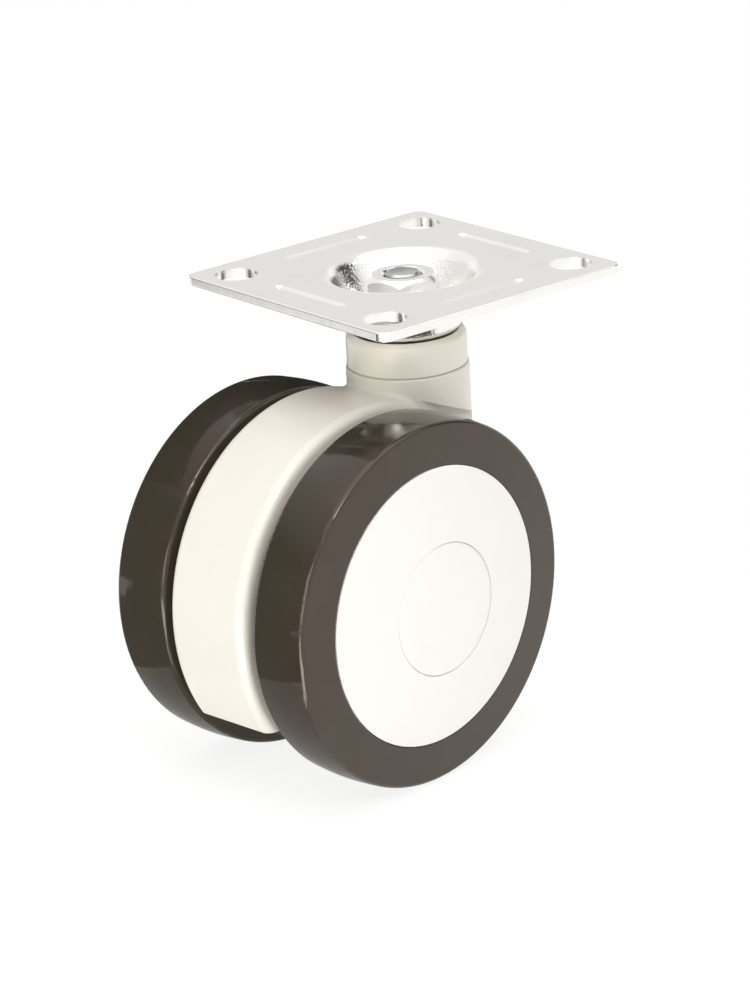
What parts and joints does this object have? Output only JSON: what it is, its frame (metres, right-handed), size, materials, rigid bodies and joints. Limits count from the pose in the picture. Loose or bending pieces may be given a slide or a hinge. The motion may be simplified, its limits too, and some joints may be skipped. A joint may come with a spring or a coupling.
{
  "type": "twin wheel caster",
  "caption": "Swivel caster with a square bolt-on top plate, a dished centre with a hexagon nut, a pale moulded hood and dark tyres on either side with pale domed hub covers.",
  "frame": {"origin": "centre of the bolt pattern on the top plate's upper face, where the swivel axis leaves it", "axes": "+Z along the swivel axis, up and away from the plate's upper face; X and Y along the plate's sides; the fork trails towards -X"},
  "size_m": [0.0971, 0.0663, 0.0997],
  "materials": {
    "plated_steel": "bright zinc plate, smooth",
    "plated_nut": "bright zinc plate",
    "bearing_steel": "ground steel",
    "spring_steel": "blackened spring steel",
    "bush_bronze": "sintered bronze",
    "cage_plastic": "moulded nylon",
    "housing_plastic": "smooth moulded ivory",
    "collar_plastic": "smooth moulded grey ivory",
    "core_plastic": "moulded",
    "tyre": "smooth, glossy, dark grey-brown",
    "cover_plastic": "smooth moulded ivory"
  },
  "bodies": {
    "plate": {"top_plate": "plated_steel", "king_nut": "plated_nut", "king_spring_washer": "plated_nut", "king_plain_washer": "plated_nut", "king_pin": "plated_nut", "upper_race": "bearing_steel", "pin_thrust_washer": "bearing_steel", "pin_clip": "spring_steel"},
    "swivel_ball_set": {"swivel_balls": "bearing_steel", "swivel_cage": "cage_plastic"},
    "fork": {"caster_housing": "housing_plastic", "swivel_collar": "collar_plastic", "lower_race": "bearing_steel", "king_pin_bush": "bush_bronze", "axle": "bearing_steel", "left_axle_spacer": "bearing_steel", "left_axle_clip": "spring_steel", "left_bearing_inner_race": "bearing_steel", "right_axle_spacer": "bearing_steel", "right_axle_clip": "spring_steel", "right_bearing_inner_race": "bearing_steel"},
    "left_wheel": {"left_tyre": "tyre", "left_wheel_core": "core_plastic", "left_hub_cover": "cover_plastic", "left_centre_cap": "cover_plastic", "left_bearing_outer_race": "bearing_steel", "left_bearing_shields": "plated_steel"},
    "left_ball_set": {"left_bearing_balls": "bearing_steel", "left_bearing_cage": "cage_plastic"},
    "right_wheel": {"right_tyre": "tyre", "right_wheel_core": "core_plastic", "right_hub_cover": "cover_plastic", "right_centre_cap": "cover_plastic", "right_bearing_outer_race": "bearing_steel", "right_bearing_shields": "plated_steel"},
    "right_ball_set": {"right_bearing_balls": "bearing_steel", "right_bearing_cage": "cage_plastic"}
  },
  "joints": [
    {"name": "fork_swivel", "type": "hinge", "parent": "plate", "child": "fork", "pos_m": [0, 0, 0], "axis": [0, 0, 1], "continuous": true},
    {"name": "swivel_balls_roll", "type": "hinge", "parent": "plate", "child": "swivel_ball_set", "pos_m": [0, 0, 0], "axis": [0, 0, 1], "continuous": true},
    {"name": "left_wheel_spin", "type": "hinge", "parent": "fork", "child": "left_wheel", "pos_m": [-0.02383, -0.00284, -0.061], "axis": [-0.1184, 0.993, 0], "continuous": true},
    {"name": "left_balls_roll", "type": "hinge", "parent": "fork", "child": "left_ball_set", "pos_m": [-0.02383, -0.00284, -0.061], "axis": [-0.1184, 0.993, 0], "continuous": true},
    {"name": "right_wheel_spin", "type": "hinge", "parent": "fork", "child": "right_wheel", "pos_m": [-0.02383, -0.00284, -0.061], "axis": [-0.1184, 0.993, 0], "continuous": true},
    {"name": "right_balls_roll", "type": "hinge", "parent": "fork", "child": "right_ball_set", "pos_m": [-0.02383, -0.00284, -0.061], "axis": [-0.1184, 0.993, 0], "continuous": true}
  ],
  "couplings": [
    {"joint": "swivel_balls_roll", "follows": "fork_swivel", "ratio": 0.5},
    {"joint": "left_balls_roll", "follows": "left_wheel_spin", "ratio": 0.63233},
    {"joint": "right_balls_roll", "follows": "right_wheel_spin", "ratio": 0.63233}
  ]
}
